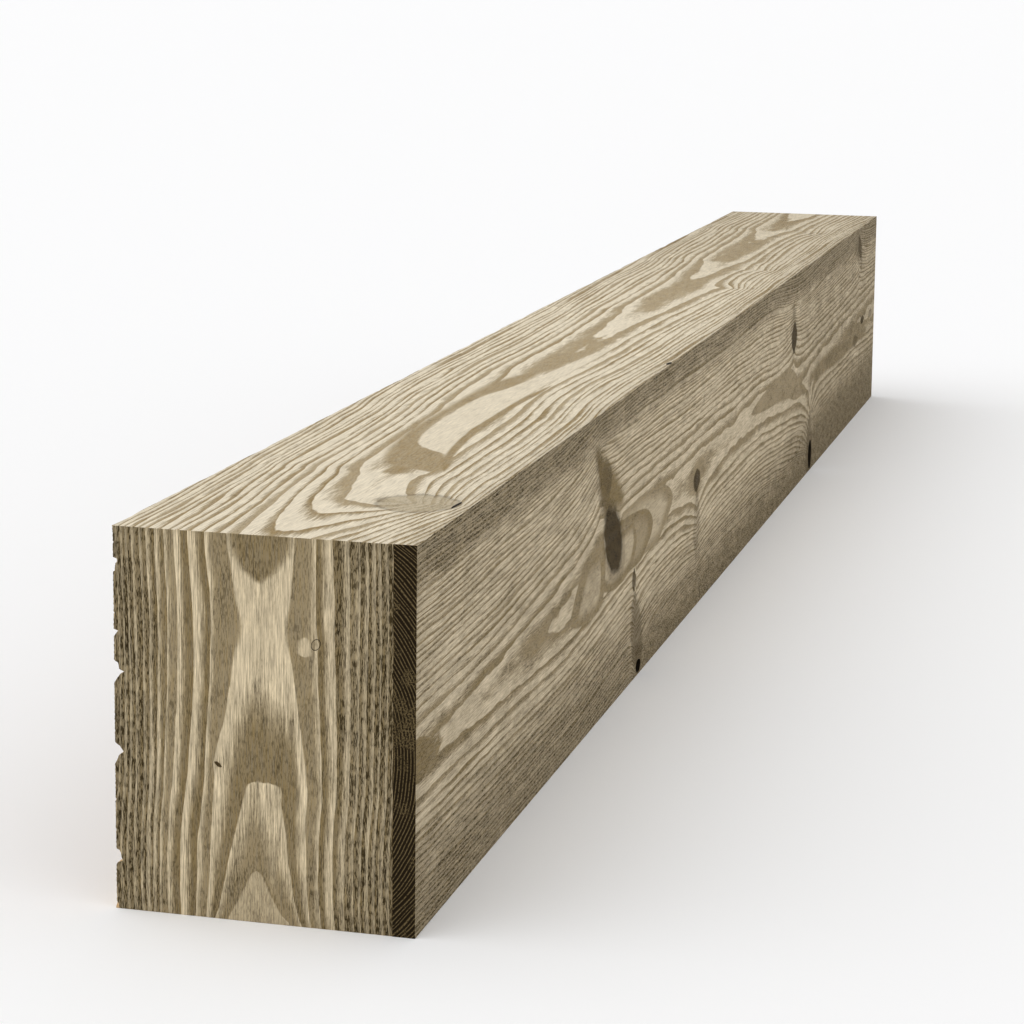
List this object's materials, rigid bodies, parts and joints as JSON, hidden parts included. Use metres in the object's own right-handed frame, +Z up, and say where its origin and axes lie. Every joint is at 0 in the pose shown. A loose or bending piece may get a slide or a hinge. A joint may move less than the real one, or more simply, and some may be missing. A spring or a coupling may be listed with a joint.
{
  "type": "hollow timber box beam",
  "caption": "Hollow box beam of stained, brushed softwood boards with mitred edges, capped ends and an open back that slips over a wall cleat.",
  "frame": {"origin": "middle of the underside, on the floor that the beam lies on", "axes": "+X from the open back to the show face, +Y along the beam to the far end, +Z up"},
  "size_m": [0.2, 2.2, 0.25],
  "materials": {
    "top_board": "brushed softwood, thinly stained",
    "face_board": "brushed softwood, thinly stained",
    "bottom_board": "brushed softwood, thinly stained",
    "near_cap": "brushed softwood, darkly stained",
    "far_cap": "brushed softwood, darkly stained"
  },
  "bodies": {
    "root": {"top_board": "top_board", "face_board": "face_board", "bottom_board": "bottom_board", "near_cap": "near_cap", "far_cap": "far_cap"}
  },
  "joints": []
}
